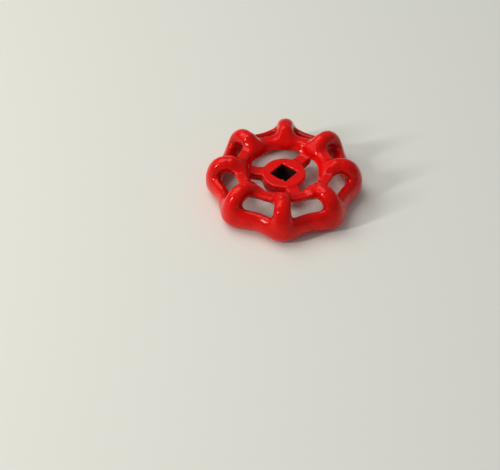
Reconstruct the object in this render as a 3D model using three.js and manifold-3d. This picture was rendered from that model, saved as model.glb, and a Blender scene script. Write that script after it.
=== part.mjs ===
// Cast handwheel for a small shutoff valve: a scalloped outer rim of eight lobes, eight raised
// finger ribs that arch from the rim up to a conical inner ring, and three spokes that carry the
// ring on a round hub with a square stem socket.
// Millimetres, +Z along the stem axis, away from the valve. The origin is on the stem axis, in the
// plane that the rim's underside rests on. X and Y are square to the flats of the socket.

import * as THREE from 'three';
import { mergeVertices } from 'three/addons/utils/BufferGeometryUtils.js';
import Module from 'manifold-3d';

// Joints between neighbouring regions of the casting
const GAP = 0.3;

// Layout about the stem axis
const LOBES = 8;
const SPOKES = 3;
const LOBE_PITCH = (2 * Math.PI) / LOBES;
const SPOKE_PITCH = (2 * Math.PI) / SPOKES;
const FIRST_RIB_ANGLE = THREE.MathUtils.degToRad(-7.5);

// Outer rim: its mid line swells outward at every lobe
const WHEEL_D = 64.0;
const RIM_WIDTH = 4.6;
const RIM_SWELL = 1.45;
const RIM_WIDTH_SWELL = 0.1;
const RIM_HEIGHT = 9.2;
const RIM_CROWN = 1.0;
const RIM_CORNER_R = 1.9;
const RIM_MID_R = WHEEL_D / 2 - RIM_SWELL - (RIM_WIDTH / 2) * (1 + RIM_WIDTH_SWELL);

// Finger ribs: half-sizes of the oval section, and the mid line as radius and height
const RIB_HALF_THICK = 2.8;
const RIB_HALF_WIDTH_IN = 2.8;
const RIB_HALF_WIDTH_OUT = 3.3;
const RIB_LINE = [[18.0, 13.2], [19.1, 14.6], [22.4, 14.5], [25.4, 12.8], [27.4, 9.8], [28.4, 7.6]];

// Inner ring: conical band, wider at the top
const RING_Z0 = 9.6;
const RING_Z1 = 13.5;
const RING_TOP_RI = 16.5;
const RING_TOP_RO = 20.3;
const RING_BOTTOM_RI = 14.3;
const RING_BOTTOM_RO = 18.2;
const RING_CORNER_R = 0.9;

// Hub: head, boss and square socket
const HUB_R = 9.05;
const HUB_Z0 = 5.4;
const HUB_Z1 = 9.9;
const BOSS_R = 7.3;
const BOSS_Z0 = 1.2;
const HUB_EDGE = 0.5;
const SOCKET_ACROSS_FLATS = 8.1;
const SOCKET_CHAMFER = 0.4;

// Spokes
const SPOKE_WIDTH = 5.3;
const SPOKE_Z0 = 6.0;
const SPOKE_Z1 = 9.5;
const SPOKE_END_R = 17.8;
const SPOKE_EDGE = 0.6;

// Glossy red enamel
const ENAMEL = { color: 0xc8140c, roughness: 0.22, metalness: 0.0 };

const wasm = await Module();
wasm.setup();

const wheel = new THREE.Group();
wheel.name = 'handwheel';

function toSolid(geometry) {
  geometry.deleteAttribute('normal');
  geometry.deleteAttribute('uv');
  const merged = mergeVertices(geometry, 1e-4);
  const mesh = new wasm.Mesh({
    numProp: 3,
    vertProperties: new Float32Array(merged.attributes.position.array),
    triVerts: new Uint32Array(merged.index.array),
  });
  return new wasm.Manifold(mesh);
}

function toGeometry(solid) {
  const mesh = solid.getMesh();
  const geometry = new THREE.BufferGeometry();
  geometry.setAttribute('position', new THREE.BufferAttribute(mesh.vertProperties, 3));
  geometry.setIndex(new THREE.BufferAttribute(mesh.triVerts, 1));
  geometry.computeVertexNormals();
  return geometry;
}

function addPiece(name, geometry, angle) {
  const mesh = new THREE.Mesh(geometry, new THREE.MeshStandardMaterial(ENAMEL));
  mesh.name = name;
  mesh.rotation.z = angle;
  wheel.add(mesh);
}

// Moves every vertex of a geometry by a function that changes the vector it is given
function reshape(geometry, change) {
  const position = geometry.attributes.position;
  const point = new THREE.Vector3();
  for (let i = 0; i < position.count; i += 1) {
    point.fromBufferAttribute(position, i);
    change(point);
    position.setXYZ(i, point.x, point.y, point.z);
  }
  return geometry;
}

function roundedRectangle(x0, y0, x1, y1, r) {
  const shape = new THREE.Shape();
  shape.moveTo(x0 + r, y0);
  shape.lineTo(x1 - r, y0);
  shape.absarc(x1 - r, y0 + r, r, -Math.PI / 2, 0, false);
  shape.lineTo(x1, y1 - r);
  shape.absarc(x1 - r, y1 - r, r, 0, Math.PI / 2, false);
  shape.lineTo(x0 + r, y1);
  shape.absarc(x0 + r, y1 - r, r, Math.PI / 2, Math.PI, false);
  shape.lineTo(x0, y0 + r);
  shape.absarc(x0 + r, y0 + r, r, Math.PI, 1.5 * Math.PI, false);
  return shape;
}

// Radius of the rim's mid line at an angle from the middle of a lobe
function rimMidRadius(angle) {
  return RIM_MID_R + RIM_SWELL * Math.cos(LOBES * angle);
}

class RimLine extends THREE.Curve {
  constructor(halfAngle) {
    super();
    this.halfAngle = halfAngle;
  }

  getPoint(t, target = new THREE.Vector3()) {
    const angle = this.halfAngle * (2 * t - 1);
    const r = rimMidRadius(angle);
    return target.set(r * Math.cos(angle), r * Math.sin(angle), 0);
  }
}

// One lobe of the rim, from the middle of one window to the middle of the next.
// The sweep lays the section's first axis along -Z and its second axis towards the stem axis.
function rimLobe(grow) {
  const halfAngle = LOBE_PITCH / 2 - (GAP / 2 - grow) / RIM_MID_R;
  const half = RIM_WIDTH / 2 + grow;
  const section = roundedRectangle(-RIM_HEIGHT - grow, -half, grow, half, RIM_CORNER_R + grow);
  const lobe = new THREE.ExtrudeGeometry(section, {
    steps: 10,
    curveSegments: 2,
    extrudePath: new RimLine(halfAngle),
  });
  return reshape(lobe, (p) => {
    const angle = Math.atan2(p.y, p.x);
    const bulge = Math.cos(LOBES * angle);
    const mid = rimMidRadius(angle);
    const r = Math.hypot(p.x, p.y);
    const swollen = mid + (r - mid) * (1 + RIM_WIDTH_SWELL * bulge);
    p.x *= swollen / r;
    p.y *= swollen / r;
    if (p.z > 0) {
      p.z *= 1 + (RIM_CROWN / RIM_HEIGHT) * (0.5 + 0.5 * bulge);
    }
  });
}

// Conical inner ring, turned about the stem axis
function innerRing(grow) {
  const slope = (RING_TOP_RI - RING_BOTTOM_RI) / (RING_Z1 - RING_Z0);
  const section = roundedRectangle(
    RING_BOTTOM_RI - grow,
    RING_Z0 - grow,
    RING_BOTTOM_RO + grow,
    RING_Z1 + grow,
    RING_CORNER_R,
  );
  const outline = section.getPoints(1).map((p) => p.clone().setX(p.x + slope * (p.y - RING_Z0)));
  outline.push(outline[0].clone());
  return new THREE.LatheGeometry(outline, 48).rotateX(Math.PI / 2);
}

// Finger rib: an oval section swept along the arch and widened towards the rim. Its inner end
// saddles the ring and its outer end stands on the crown of the lobe.
// The sweep lays the section's first axis across the rib.
function fingerRib() {
  const points = RIB_LINE.map(([r, z]) => new THREE.Vector3(r, 0, z));
  const section = new THREE.Shape();
  section.absellipse(0, 0, RIB_HALF_WIDTH_IN, RIB_HALF_THICK, 0, 2 * Math.PI, false, 0);
  const sweep = new THREE.ExtrudeGeometry(section, {
    steps: 12,
    curveSegments: 8,
    extrudePath: new THREE.CatmullRomCurve3(points),
  });
  const innerR = RIB_LINE[0][0];
  const outerR = RIB_LINE[RIB_LINE.length - 1][0];
  const widening = RIB_HALF_WIDTH_OUT / RIB_HALF_WIDTH_IN - 1;
  reshape(sweep, (p) => {
    p.y *= 1 + widening * THREE.MathUtils.smoothstep(p.x, innerR, outerR);
  });
  return toGeometry(toSolid(sweep).subtract(toSolid(innerRing(GAP))).subtract(toSolid(rimLobe(GAP))));
}

// Round hub: a broad head on a narrower boss, with a square socket right through both.
// The socket's mouths are chamfered by four-sided frustums whose flats match the socket's.
function hubCasting() {
  const outline = [
    [0, BOSS_Z0],
    [BOSS_R - HUB_EDGE, BOSS_Z0],
    [BOSS_R, BOSS_Z0 + HUB_EDGE],
    [BOSS_R, HUB_Z0],
    [HUB_R - HUB_EDGE, HUB_Z0],
    [HUB_R, HUB_Z0 + HUB_EDGE],
    [HUB_R, HUB_Z1 - HUB_EDGE],
    [HUB_R - HUB_EDGE, HUB_Z1],
    [0, HUB_Z1],
  ].map(([r, z]) => new THREE.Vector2(r, z));
  const body = new THREE.LatheGeometry(outline, 48).rotateX(Math.PI / 2);
  const height = HUB_Z1 - BOSS_Z0;
  const socket = new THREE.BoxGeometry(SOCKET_ACROSS_FLATS, SOCKET_ACROSS_FLATS, 2 * height);
  socket.translate(0, 0, BOSS_Z0 + height / 2);
  const mouthR = (SOCKET_ACROSS_FLATS / 2) * Math.SQRT2;
  const flare = 2 * SOCKET_CHAMFER * Math.SQRT2;
  const mouth = new THREE.CylinderGeometry(mouthR + flare, mouthR, 2 * SOCKET_CHAMFER, 4);
  mouth.rotateY(Math.PI / 4).rotateX(Math.PI / 2);
  const upperMouth = mouth.clone().translate(0, 0, HUB_Z1);
  const lowerMouth = mouth.clone().rotateX(Math.PI).translate(0, 0, BOSS_Z0);
  const cutters = [socket, upperMouth, lowerMouth];
  return toGeometry(cutters.reduce((solid, cutter) => solid.subtract(toSolid(cutter)), toSolid(body)));
}

// Spoke from the hub out under the ring, with a short heel up the ring's inner wall.
// Its side view is drawn as radius and height and given its width across the spoke.
function spokeBar() {
  const side = new THREE.Shape();
  side.moveTo(HUB_R - 1, SPOKE_Z0);
  side.lineTo(SPOKE_END_R - 1, SPOKE_Z0);
  side.lineTo(SPOKE_END_R, SPOKE_Z0 + 1);
  side.lineTo(SPOKE_END_R, RING_Z0 + 1.4);
  side.lineTo(RING_BOTTOM_RI + 0.6, RING_Z0 + 1.4);
  side.lineTo(RING_BOTTOM_RI - 1.2, SPOKE_Z1);
  side.lineTo(HUB_R - 1, SPOKE_Z1);
  const bar = new THREE.ExtrudeGeometry(side, {
    depth: SPOKE_WIDTH - 2 * SPOKE_EDGE,
    bevelSize: SPOKE_EDGE,
    bevelThickness: SPOKE_EDGE,
    bevelOffset: -SPOKE_EDGE,
    bevelSegments: 2,
  });
  bar.rotateX(Math.PI / 2).translate(0, SPOKE_WIDTH / 2 - SPOKE_EDGE, 0);
  const hubClearance = new THREE.CylinderGeometry(HUB_R + GAP, HUB_R + GAP, 4 * HUB_Z1, 96);
  hubClearance.rotateX(Math.PI / 2);
  return toGeometry(toSolid(bar).subtract(toSolid(hubClearance)).subtract(toSolid(innerRing(GAP))));
}

addPiece('hub', hubCasting(), 0);
addPiece('inner_ring', innerRing(0), 0);

const spokeGeometry = spokeBar();
for (let i = 0; i < SPOKES; i += 1) {
  addPiece(`spoke_${i + 1}`, spokeGeometry, i * SPOKE_PITCH);
}

const lobeGeometry = rimLobe(0);
const ribGeometry = fingerRib();
for (let i = 0; i < LOBES; i += 1) {
  const angle = FIRST_RIB_ANGLE + i * LOBE_PITCH;
  addPiece(`rim_lobe_${i + 1}`, lobeGeometry, angle);
  addPiece(`finger_rib_${i + 1}`, ribGeometry, angle);
}

export default wheel;
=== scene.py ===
import math

import bpy
import numpy as np
from mathutils import Matrix, Vector


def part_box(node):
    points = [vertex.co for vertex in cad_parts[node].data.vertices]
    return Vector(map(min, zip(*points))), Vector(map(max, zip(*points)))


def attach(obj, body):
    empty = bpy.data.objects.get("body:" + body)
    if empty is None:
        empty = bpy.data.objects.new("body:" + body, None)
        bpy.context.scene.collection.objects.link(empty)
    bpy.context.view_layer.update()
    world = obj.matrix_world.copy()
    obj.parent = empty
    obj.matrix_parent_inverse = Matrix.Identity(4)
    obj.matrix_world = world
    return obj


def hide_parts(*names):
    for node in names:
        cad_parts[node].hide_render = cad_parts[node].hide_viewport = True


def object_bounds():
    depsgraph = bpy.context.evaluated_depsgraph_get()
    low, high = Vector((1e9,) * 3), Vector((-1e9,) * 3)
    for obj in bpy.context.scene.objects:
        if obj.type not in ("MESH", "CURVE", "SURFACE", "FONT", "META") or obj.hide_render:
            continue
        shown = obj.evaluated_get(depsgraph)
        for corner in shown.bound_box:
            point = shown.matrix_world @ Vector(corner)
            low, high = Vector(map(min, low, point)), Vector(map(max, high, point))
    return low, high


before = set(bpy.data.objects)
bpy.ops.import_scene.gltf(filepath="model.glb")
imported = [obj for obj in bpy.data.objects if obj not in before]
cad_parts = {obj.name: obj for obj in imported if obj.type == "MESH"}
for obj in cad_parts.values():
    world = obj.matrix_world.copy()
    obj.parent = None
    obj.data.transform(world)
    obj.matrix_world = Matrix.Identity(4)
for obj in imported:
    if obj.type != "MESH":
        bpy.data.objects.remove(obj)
cad_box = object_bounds()

MM = 0.001
LOBES = 8
SPOKES = 3
LOBE_PITCH = 2 * math.pi / LOBES
SPOKE_PITCH = 2 * math.pi / SPOKES
FIRST_RIB = math.radians(-7.5)

# ---------------------------------------------------------------- sizes, in millimetres
hub_low, hub_high = (np.array(corner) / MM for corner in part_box("hub"))
ring_low, ring_high = (np.array(corner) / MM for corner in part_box("inner_ring"))
whole_low, whole_high = (np.array(corner) / MM for corner in cad_box)

RIM_MID_R = 27.8
RIM_SWELL = 1.2
RIM_HALF_WIDTH = 2.95
RIM_HALF_HEIGHT = (4.65, 5.2)   # between two lobes, and at a lobe
RIM_MID_Z = (5.5, 5.2)   # the same two places
RIM_SECTION = 1.9   # exponent of the section: 2 is an ellipse, more is squarer

RIB_INNER_END = (18.4, 13.0)
RIB_CREST = (21.6, 14.6)
RIB_FOOT = (28.9, 4.7)
RIB_ARCH = 2.8
RIB_HALF_THICK = 3.2
RIB_HALF_WIDTH = (2.95, 3.6)   # at the ring, and at the rim
RIB_SECTION = 2.15
RIB_END_EDGE = 1.5
RIB_STEPS = 7
RIB_JOIN = 0.8   # softens the corners between the steps of the centre line

RING_Z0 = ring_low[2] + 0.7
RING_Z1 = ring_high[2] + 0.4
RING_TOP_RI = 16.5
RING_TOP_RO = ring_high[0] + 0.7
RING_SLOPE = 0.66
RING_OUTER_SLOPE = 0.4
RING_EDGE = 0.75

HUB_R = hub_high[0]
HUB_Z1 = hub_high[2] + 0.6
HUB_Z0 = 5.4
BOSS_R = 7.3
BOSS_Z0 = hub_low[2]
SOCKET = 8.1

SPOKE_WIDTH = 5.3
SPOKE_Z0 = 6.5
SPOKE_Z1 = 10.15
SPOKE_START_R = 3.0
SPOKE_INSET = 1.4   # how far its end stays inside the ring's outer slope
SPOKE_EDGE = 0.8
SPOKE_END_EDGE = 1.0

HEAD_EDGE = 0.6
BOSS_EDGE = 0.5
BOSS_TOP_BELOW_HEAD = 1.0
SOCKET_EDGE = 0.5
UNDERSIDE_EDGE = 0.8

FILLET_RIM_TO_RIB = 3.6
FILLET_TO_RING = 5.0
FILLET_HEAD_TO_BOSS = 1.0
FILLET_HUB_TO_SPOKE = 1.8
FILLET_SPOKE_TO_RING = 2.2

MESH_STEP = 0.37
FIELD_MARGIN = (1.5, 0.9, 1.2)   # round the sides, below the underside and above the top
SURFACE_PASSES = 3
PAINT_REACH = 1.1   # how far off the surface its hollows and edges are felt


def rib_line(steps):
    """Centre line of a finger rib, as points of radius and height from the inner ring to the rim."""
    points = [RIB_INNER_END]
    for n in range(steps + 1):
        t = math.radians(90 * (1 - n / steps))
        reach = max(math.cos(t), 0) ** (2 / RIB_ARCH)
        lift = max(math.sin(t), 0) ** (2 / RIB_ARCH)
        points.append((
            RIB_CREST[0] + (RIB_FOOT[0] - RIB_CREST[0]) * reach,
            RIB_FOOT[1] + (RIB_CREST[1] - RIB_FOOT[1]) * lift,
        ))
    return points


RIB_LINE = rib_line(RIB_STEPS)


# ---------------------------------------------------------------- the casting as a distance field
def blend(a, b, k):
    """Union of two distance fields with a fillet of about k."""
    h = np.maximum(k - np.abs(a - b), 0) / k
    return np.minimum(a, b) - h * h * h * k / 6


def cut(a, b, k):
    """Field a with field b taken out, the edge rounded by about k."""
    return -blend(-a, b, k)


def common(a, b, k):
    """What two distance fields share, the edge rounded by about k."""
    return -blend(-a, -b, k)


def rounded_box(dx, dy, rho):
    """2-D box from signed distances to its two pairs of sides, with corner radius rho."""
    qx, qy = dx + rho, dy + rho
    outside = np.sqrt(np.maximum(qx, 0) ** 2 + np.maximum(qy, 0) ** 2)
    return outside + np.minimum(np.maximum(qx, qy), 0) - rho


def segment(px, pz, a, b):
    """Distance in a plane to the segment from a to b."""
    vx, vz = b[0] - a[0], b[1] - a[1]
    wx, wz = px - a[0], pz - a[1]
    t = np.clip((wx * vx + wz * vz) / (vx * vx + vz * vz), 0, 1)
    return np.sqrt((wx - t * vx) ** 2 + (wz - t * vz) ** 2)


def fold(angle, pitch):
    """Angle from the nearest of the evenly spaced directions."""
    return np.mod(angle + pitch / 2, pitch) - pitch / 2


def superellipse(u, v, n):
    return (u ** n + v ** n + 1e-9) ** (1 / n) - 1


def unevenness(x, y, z):
    """Slow waviness of a sand casting under its enamel."""
    return (
        0.016 * np.sin(0.83 * x + 0.31 * y + 0.4) * np.sin(0.71 * y - 0.52 * z + 1.3)
        + 0.010 * np.sin(1.23 * x - 0.92 * z + 2.1) * np.sin(1.37 * y + 0.46 * x)
        + 0.006 * np.sin(2.11 * y + 1.1 * x + 0.5) * np.sin(1.83 * z - 1.3 * x + 0.8)
    )


def casting(x, y, z):
    """Signed distance to the whole casting, in millimetres, a little uneven as cast."""
    r = np.sqrt(x * x + y * y) + 1e-6
    theta = np.arctan2(y, x)

    lobe = fold(theta - FIRST_RIB, LOBE_PITCH)
    swell = np.cos(LOBES * lobe)
    mid = RIM_MID_R + RIM_SWELL * swell
    lean = -LOBES * RIM_SWELL * np.sin(LOBES * lobe) / mid
    across = np.abs(r - mid) / np.sqrt(1 + lean ** 2)
    at_lobe = 0.5 + 0.5 * swell
    up = np.abs(z - RIM_MID_Z[0] - (RIM_MID_Z[1] - RIM_MID_Z[0]) * at_lobe)
    half_height = RIM_HALF_HEIGHT[0] + (RIM_HALF_HEIGHT[1] - RIM_HALF_HEIGHT[0]) * at_lobe
    rim = superellipse(across / RIM_HALF_WIDTH, up / half_height, RIM_SECTION) * RIM_HALF_WIDTH

    along, side = r * np.cos(lobe), np.abs(r * np.sin(lobe))
    line = segment(along, z, RIB_LINE[0], RIB_LINE[1])
    for start, end in zip(RIB_LINE[1:], RIB_LINE[2:]):
        line = blend(line, segment(along, z, start, end), RIB_JOIN)
    line = np.maximum(line, 0)
    widen = np.clip((along - RIB_INNER_END[0]) / (RIB_FOOT[0] - RIB_INNER_END[0]), 0, 1)
    half_width = RIB_HALF_WIDTH[0] + (RIB_HALF_WIDTH[1] - RIB_HALF_WIDTH[0]) * widen
    rib = superellipse(line / RIB_HALF_THICK, side / half_width, RIB_SECTION) * RIB_HALF_THICK
    bore = (RING_TOP_RI + RING_SLOPE * (z - RING_Z1) - r) / math.sqrt(1 + RING_SLOPE ** 2)
    rib = common(rib, bore, RIB_END_EDGE)

    outside = (r - RING_TOP_RO + RING_OUTER_SLOPE * (RING_Z1 - z)) / math.sqrt(1 + RING_OUTER_SLOPE ** 2)
    above = np.abs(z - (RING_Z0 + RING_Z1) / 2) - (RING_Z1 - RING_Z0) / 2
    ring = rounded_box(np.maximum(outside, bore), above, RING_EDGE)

    turn = fold(theta, SPOKE_PITCH)
    reach, off = r * np.cos(turn), np.abs(r * np.sin(turn))
    bar = rounded_box(
        off - SPOKE_WIDTH / 2,
        np.abs(z - (SPOKE_Z0 + SPOKE_Z1) / 2) - (SPOKE_Z1 - SPOKE_Z0) / 2,
        SPOKE_EDGE,
    )
    under_ring = (r - RING_TOP_RO + SPOKE_INSET + RING_SLOPE * (RING_Z1 - z)) / math.sqrt(1 + RING_SLOPE ** 2)
    spoke = common(np.maximum(bar, SPOKE_START_R - reach), under_ring, SPOKE_END_EDGE)

    head = rounded_box(r - HUB_R, np.abs(z - (HUB_Z0 + HUB_Z1) / 2) - (HUB_Z1 - HUB_Z0) / 2, HEAD_EDGE)
    boss_top = HUB_Z1 - BOSS_TOP_BELOW_HEAD
    boss = rounded_box(r - BOSS_R, np.abs(z - (BOSS_Z0 + boss_top) / 2) - (boss_top - BOSS_Z0) / 2, BOSS_EDGE)

    d = blend(rim, rib, FILLET_RIM_TO_RIB)
    d = blend(d, ring, FILLET_TO_RING)
    hub = blend(head, boss, FILLET_HEAD_TO_BOSS)
    d = blend(d, blend(hub, spoke, FILLET_HUB_TO_SPOKE), FILLET_SPOKE_TO_RING)
    d = common(d + unevenness(x, y, z), -z, UNDERSIDE_EDGE)
    socket = np.maximum(np.abs(x), np.abs(y)) - SOCKET / 2
    return cut(d, socket, SOCKET_EDGE)


def surface_nets(field, origin, step):
    """Quads over the zero level of a sampled field, one vertex in each cell that it crosses."""
    inside = field < 0
    corners = [(i, j, k) for i in (0, 1) for j in (0, 1) for k in (0, 1)]
    nx, ny, nz = (n - 1 for n in field.shape)
    count = np.zeros((nx, ny, nz), np.int8)
    for i, j, k in corners:
        count += inside[i:nx + i, j:ny + j, k:nz + k]
    active = (count > 0) & (count < 8)
    number = np.full(active.shape, -1, np.int64)
    number[active] = np.arange(active.sum())
    cells = np.argwhere(active)
    total = np.zeros((len(cells), 3))
    hits = np.zeros(len(cells))
    for a in corners:
        for axis in range(3):
            if a[axis]:
                continue
            b = tuple(1 if n == axis else v for n, v in enumerate(a))
            fa = field[tuple((cells + a).T)]
            fb = field[tuple((cells + b).T)]
            crossed = (fa < 0) != (fb < 0)
            t = fa[crossed] / (fa[crossed] - fb[crossed])
            point = np.tile(np.array(a, float), (len(t), 1))
            point[:, axis] += t
            total[crossed] += point
            hits[crossed] += 1
    vertices = np.array(origin) + (cells + total / hits[:, None]) * step
    quads = []
    for axis in range(3):
        u, v = (axis + 1) % 3, (axis + 2) % 3
        near = np.moveaxis(inside, (axis, u, v), (0, 1, 2))
        index = np.moveaxis(number, (axis, u, v), (0, 1, 2))
        crossing = near[:-1] != near[1:]
        found = np.argwhere(crossing[:, 1:-1, 1:-1]) + (0, 1, 1)
        i, j, k = found.T
        ring = [index[i, j - 1, k - 1], index[i, j, k - 1], index[i, j, k], index[i, j - 1, k]]
        quad = np.stack(ring, 1)
        flip = ~near[i, j, k]
        quad[flip] = quad[flip][:, ::-1]
        quads.append(quad)
    return vertices, np.concatenate(quads)


def gradient(points, h=0.06):
    x, y, z = points.T
    g = np.stack([
        casting(x + h, y, z) - casting(x - h, y, z),
        casting(x, y + h, z) - casting(x, y - h, z),
        casting(x, y, z + h) - casting(x, y, z - h),
    ], 1) / (2 * h)
    return g


def make_casting(step):
    around, below, over = FIELD_MARGIN
    low = np.array([whole_low[0] - around, whole_low[1] - around, -below])
    high = np.array([whole_high[0] + around, whole_high[1] + around, whole_high[2] + over])
    size = np.ceil((high - low) / step).astype(int) + 1
    xs, ys, zs = (low[n] + step * np.arange(size[n]) for n in range(3))
    field = np.empty(size, np.float32)
    gx, gy = np.meshgrid(xs, ys, indexing="ij")
    for n, height in enumerate(zs):
        field[:, :, n] = casting(gx, gy, np.full_like(gx, height))
    vertices, quads = surface_nets(field, low, step)
    for _ in range(SURFACE_PASSES):
        g = gradient(vertices)
        d = casting(*vertices.T)
        length = np.maximum((g * g).sum(1), 0.2)
        vertices -= np.clip(d / length, -step / 2, step / 2)[:, None] * g
    mesh = bpy.data.meshes.new("casting")
    mesh.vertices.add(len(vertices))
    mesh.vertices.foreach_set("co", (vertices * MM).astype(np.float32).ravel())
    mesh.loops.add(quads.size)
    mesh.loops.foreach_set("vertex_index", quads.astype(np.int32).ravel())
    mesh.polygons.add(len(quads))
    mesh.polygons.foreach_set("loop_start", (4 * np.arange(len(quads))).astype(np.int32))
    mesh.polygons.foreach_set("use_smooth", np.ones(len(quads), bool))
    mesh.update(calc_edges=True)
    mesh.validate()
    return mesh, vertices


# ---------------------------------------------------------------- material
RED_DEEP = (0.68, 0.0020, 0.0009, 1)
RED_BRIGHT = (0.81, 0.0032, 0.0013, 1)
# painted shade: the dark red laid into hollows and fillets, where shadow falls
RED_PAINTED_SHADE = (0.22, 0.0008, 0.0008, 1)
RED_THIN = (0.88, 0.008, 0.003, 1)
RED_SPECK = (0.30, 0.002, 0.002, 1)
IRON_DARK = (0.004, 0.004, 0.004, 1)
IRON_PALE = (0.014, 0.011, 0.009, 1)
HIGHLIGHT_TINT = (1.0, 0.32, 0.30, 1)
IRON_ROUGHNESS = 0.6


def node(tree, kind, inputs=None, **settings):
    made = tree.nodes.new(kind)
    for key, value in settings.items():
        setattr(made, key, value)
    for key, value in (inputs or {}).items():
        if isinstance(value, bpy.types.NodeSocket):
            tree.links.new(value, made.inputs[key])
        else:
            made.inputs[key].default_value = value
    return made


def noise(tree, where, scale, detail=2.0, rough=0.5):
    return node(tree, "ShaderNodeTexNoise",
                {"Vector": where, "Scale": scale, "Detail": detail, "Roughness": rough}).outputs["Fac"]


def remap(tree, value, a, b, c, d):
    return node(tree, "ShaderNodeMapRange",
                {"Value": value, "From Min": a, "From Max": b, "To Min": c, "To Max": d}).outputs["Result"]


def mix(tree, factor, a, b):
    made = node(tree, "ShaderNodeMix", {"Factor": factor}, data_type="RGBA")
    for socket, value in ((made.inputs[6], a), (made.inputs[7], b)):
        if isinstance(value, bpy.types.NodeSocket):
            tree.links.new(value, socket)
        else:
            socket.default_value = value
    return made.outputs[2]


def enamel():
    """Glossy red enamel over a cast surface: painted shade darkening the fillets and hollows, lighter
    where the enamel is thin on the edges, with orange peel and pinholes, and the bare dark iron of the
    broached socket."""
    material = bpy.data.materials.new("red_enamel")
    material.use_nodes = True
    tree = material.node_tree
    shader = tree.nodes["Principled BSDF"]
    where = node(tree, "ShaderNodeTexCoord").outputs["Object"]
    hollow = node(tree, "ShaderNodeAttribute", attribute_name="hollow").outputs["Fac"]
    bare = node(tree, "ShaderNodeAttribute", attribute_name="bare").outputs["Fac"]

    blotch = noise(tree, where, 190.0, 3.0)
    speck = noise(tree, where, 1500.0, 2.0)
    red = mix(tree, remap(tree, blotch, 0.3, 0.7, 0.0, 1.0), RED_DEEP, RED_BRIGHT)
    # painted shade: the red darkened in the hollows and fillets, where shadow falls
    red = mix(tree, remap(tree, hollow, 0.0, 1.0, 0.0, 0.8), red, RED_PAINTED_SHADE)
    red = mix(tree, remap(tree, hollow, -1.0, 0.0, 0.35, 0.0), red, RED_THIN)
    red = mix(tree, remap(tree, speck, 0.68, 0.78, 0.0, 0.35), red, RED_SPECK)
    frayed = node(tree, "ShaderNodeMath", {0: bare, 1: remap(tree, speck, 0.0, 1.0, -0.35, 0.35)},
                  operation="ADD").outputs[0]
    iron = remap(tree, frayed, 0.45, 0.6, 0.0, 1.0)
    iron_tone = mix(tree, remap(tree, speck, 0.35, 0.65, 0.0, 1.0), IRON_DARK, IRON_PALE)
    tree.links.new(mix(tree, iron, red, iron_tone), shader.inputs["Base Color"])

    gloss = remap(tree, noise(tree, where, 420.0, 2.0), 0.3, 0.7, 0.10, 0.17)
    rough = node(tree, "ShaderNodeMix", {"Factor": iron, 2: gloss, 3: IRON_ROUGHNESS}).outputs[0]
    tree.links.new(rough, shader.inputs["Roughness"])
    shader.inputs["IOR"].default_value = 1.5
    shader.inputs["Specular Tint"].default_value = HIGHLIGHT_TINT

    lumps = noise(tree, where, 260.0, 2.0)
    peel = noise(tree, where, 1100.0, 1.0)
    sand = noise(tree, where, 3200.0, 2.0)
    wave = node(tree, "ShaderNodeBump", {"Height": lumps, "Strength": 0.25, "Distance": 0.0004})
    skin = node(tree, "ShaderNodeBump", {"Height": peel, "Strength": 0.16, "Distance": 0.0002,
                                         "Normal": wave.outputs[0]})
    grit = node(tree, "ShaderNodeBump", {"Height": sand, "Strength": 0.10, "Distance": 0.00006,
                                         "Normal": skin.outputs[0]})
    tree.links.new(grit.outputs[0], shader.inputs["Normal"])
    return material


def store(mesh, name, values):
    mesh.attributes.new(name, "FLOAT", "POINT").data.foreach_set("value", values.astype(np.float32))


def paint_masks(mesh, points):
    """How hollow (1) or proud (-1) the surface is at each vertex, which the material uses to lay painted
    shade into the hollows, and where it is bare iron.
    """
    reach = PAINT_REACH
    g = gradient(points)
    g /= np.linalg.norm(g, axis=1)[:, None]
    outward = casting(*(points + reach * g).T)
    hollow = np.clip((reach - outward) / reach * 2.2, 0, 1)
    inward = -casting(*(points - reach * g).T)
    proud = np.clip((reach - inward) / reach * 1.6 - 0.2, 0, 1)
    store(mesh, "hollow", hollow - proud)
    x, y, z = points.T
    wall = SOCKET / 2 + 0.06 - np.maximum(np.abs(x), np.abs(y))
    bare = np.clip(0.5 + wall / 0.3, 0, 1) * np.clip(0.5 + (HUB_Z1 - 0.45 - z) / 0.3, 0, 1)
    store(mesh, "bare", bare)


casting_mesh, casting_points = make_casting(MESH_STEP)
paint_masks(casting_mesh, casting_points)
wheel = bpy.data.objects.new("handwheel_casting", casting_mesh)
bpy.context.scene.collection.objects.link(wheel)
wheel.data.materials.append(enamel())
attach(wheel, "root")
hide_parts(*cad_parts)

# ---------------------------------------------------------------- floor
floor_mesh = bpy.data.meshes.new("floor")
FLOOR = 3.0
floor_corners = [(-FLOOR, -FLOOR, 0), (FLOOR, -FLOOR, 0), (FLOOR, FLOOR, 0), (-FLOOR, FLOOR, 0)]
floor_mesh.from_pydata(floor_corners, [], [(0, 1, 2, 3)])
floor = bpy.data.objects.new("floor", floor_mesh)
bpy.context.scene.collection.objects.link(floor)
floor_material = bpy.data.materials.new("floor")
floor_material.use_nodes = True
floor_shader = floor_material.node_tree.nodes["Principled BSDF"]
floor_shader.inputs["Base Color"].default_value = (0.78, 0.78, 0.69, 1)
floor_shader.inputs["Roughness"].default_value = 0.75
floor_mesh.materials.append(floor_material)

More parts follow.
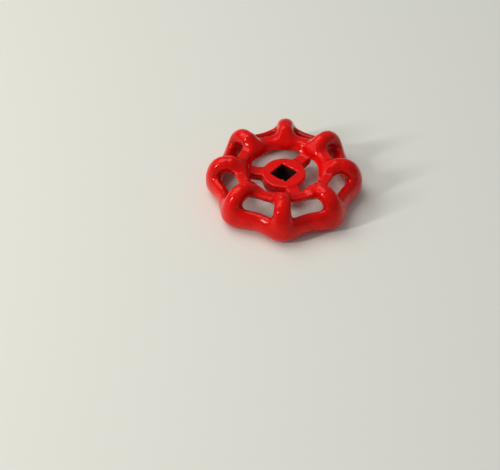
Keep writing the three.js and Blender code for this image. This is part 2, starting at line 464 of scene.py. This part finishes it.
# ---------------------------------------------------------------- camera
HEADING = math.radians(40.70)
PITCH = math.radians(-45.19)
ROLL = math.radians(0.90)
DISTANCE = 0.4730
LENS = 81.50
OFF_RIGHT = 0.02983
OFF_UP = 0.04664

forward = Vector((math.cos(HEADING) * math.cos(PITCH), math.sin(HEADING) * math.cos(PITCH), math.sin(PITCH)))
right = forward.cross(Vector((0, 0, 1))).normalized()
upward = right.cross(forward)
line_of_sight = (forward + right * OFF_RIGHT + upward * OFF_UP).normalized()
camera_data = bpy.data.cameras.new("camera")
camera_data.lens = LENS
camera_data.sensor_width = 36
camera_data.clip_start = 0.01
camera = bpy.data.objects.new("camera", camera_data)
bpy.context.scene.collection.objects.link(camera)
rotation = Matrix.Rotation(ROLL, 3, line_of_sight) @ Matrix((right, upward, -forward)).transposed()
camera.matrix_world = Matrix.Translation(Vector((0, 0, 0.005)) - line_of_sight * DISTANCE) @ rotation.to_4x4()
bpy.context.scene.camera = camera


# ---------------------------------------------------------------- light
def area_light(name, bearing, height, distance, size, power, tint=(1, 1, 1)):
    """A lamp aimed at the wheel, its bearing in degrees anticlockwise from the camera's right."""
    data = bpy.data.lights.new(name, "AREA")
    data.shape = "RECTANGLE"
    data.size, data.size_y = size
    data.energy = power
    data.color = tint
    lamp = bpy.data.objects.new(name, data)
    bpy.context.scene.collection.objects.link(lamp)
    turn = HEADING - math.pi / 2 + math.radians(bearing)
    lift = math.radians(height)
    level = distance * math.cos(lift)
    place = Vector((level * math.cos(turn), level * math.sin(turn), distance * math.sin(lift)))
    lamp.location = place
    lamp.rotation_euler = (-place).to_track_quat("-Z", "Y").to_euler()
    return lamp


area_light("key", 203, 30, 0.9, (0.055, 0.30), 3.3, (1.0, 0.96, 0.98))
area_light("side", 172, 36, 0.9, (0.35, 0.35), 0.6, (1.0, 0.97, 0.94))
area_light("overhead", 145, 62, 1.2, (0.9, 0.9), 6.7)

world = bpy.data.worlds.new("studio")
bpy.context.scene.world = world
world.use_nodes = True
world.node_tree.nodes["Background"].inputs[0].default_value = (0.94, 0.97, 1.0, 1)
world.node_tree.nodes["Background"].inputs[1].default_value = 0.29
bpy.context.scene.view_settings.view_transform = "Standard"
